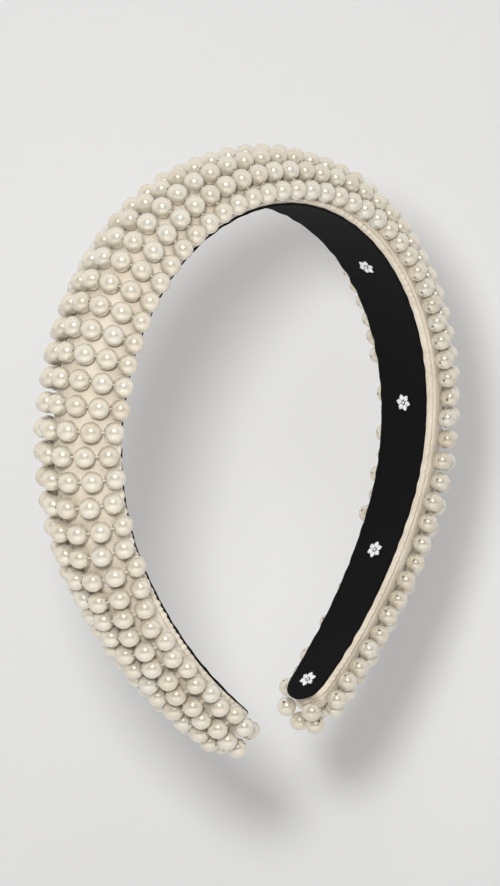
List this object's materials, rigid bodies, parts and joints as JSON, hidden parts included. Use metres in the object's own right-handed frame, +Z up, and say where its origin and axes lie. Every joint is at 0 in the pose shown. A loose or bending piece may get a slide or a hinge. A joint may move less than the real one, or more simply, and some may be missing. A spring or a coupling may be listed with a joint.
{
  "type": "headband",
  "caption": "Padded hoop headband covered all over with ivory pearls strung across it on satin, with a black woven lining and slim tips that flex open",
  "frame": {"origin": "middle of the lining's inner face at the top of the hoop, where the band sits on the crown of the head", "axes": "+X to the wearer's left-hand tip as seen from the front (ear to ear), -Y to the front, +Z up; the hoop lies in the XZ plane"},
  "size_m": [0.1676, 0.0336, 0.1804],
  "materials": {
    "pearl": "gloss",
    "satin": "satin",
    "lining": "matte",
    "stitching": "satin",
    "foam": "matte",
    "core": "matte",
    "thread": "satin"
  },
  "bodies": {
    "crown": {"core_band_crown": "core", "foam_pad_crown": "foam", "satin_cover_crown": "satin", "lining_ribbon_crown": "lining", "lining_flowers_crown": "stitching", "pearl_row_1_crown": "pearl", "pearl_row_2_crown": "pearl", "pearl_row_3_crown": "pearl", "pearl_row_4_crown": "pearl", "pearl_row_5_crown": "pearl", "pearl_row_6_crown": "pearl", "pearl_row_7_crown": "pearl", "beading_threads_crown": "thread"},
    "left_arm": {"core_band_left": "core", "foam_pad_left": "foam", "satin_cover_left": "satin", "lining_ribbon_left": "lining", "lining_flowers_left": "stitching", "pearl_row_1_left": "pearl", "pearl_row_2_left": "pearl", "pearl_row_3_left": "pearl", "pearl_row_4_left": "pearl", "pearl_row_5_left": "pearl", "pearl_row_6_left": "pearl", "pearl_row_7_left": "pearl", "pearl_tip_ring_left": "pearl", "beading_threads_left": "thread", "satin_tip_fold_left": "satin"},
    "right_arm": {"core_band_right": "core", "foam_pad_right": "foam", "satin_cover_right": "satin", "lining_ribbon_right": "lining", "lining_flowers_right": "stitching", "pearl_row_1_right": "pearl", "pearl_row_2_right": "pearl", "pearl_row_3_right": "pearl", "pearl_row_4_right": "pearl", "pearl_row_5_right": "pearl", "pearl_row_6_right": "pearl", "pearl_row_7_right": "pearl", "pearl_tip_ring_right": "pearl", "beading_threads_right": "thread", "satin_tip_fold_right": "satin"}
  },
  "joints": [
    {"name": "left_flex", "type": "hinge", "parent": "crown", "child": "left_arm", "pos_m": [-0.06014, 0, -0.00693], "axis": [0, 1, 0], "range_deg": [0, 12], "stiffness_Nm_per_rad": 1.5},
    {"name": "right_flex", "type": "hinge", "parent": "crown", "child": "right_arm", "pos_m": [0.06014, 0, -0.00693], "axis": [0, -1, 0], "range_deg": [0, 12], "stiffness_Nm_per_rad": 1.5}
  ]
}
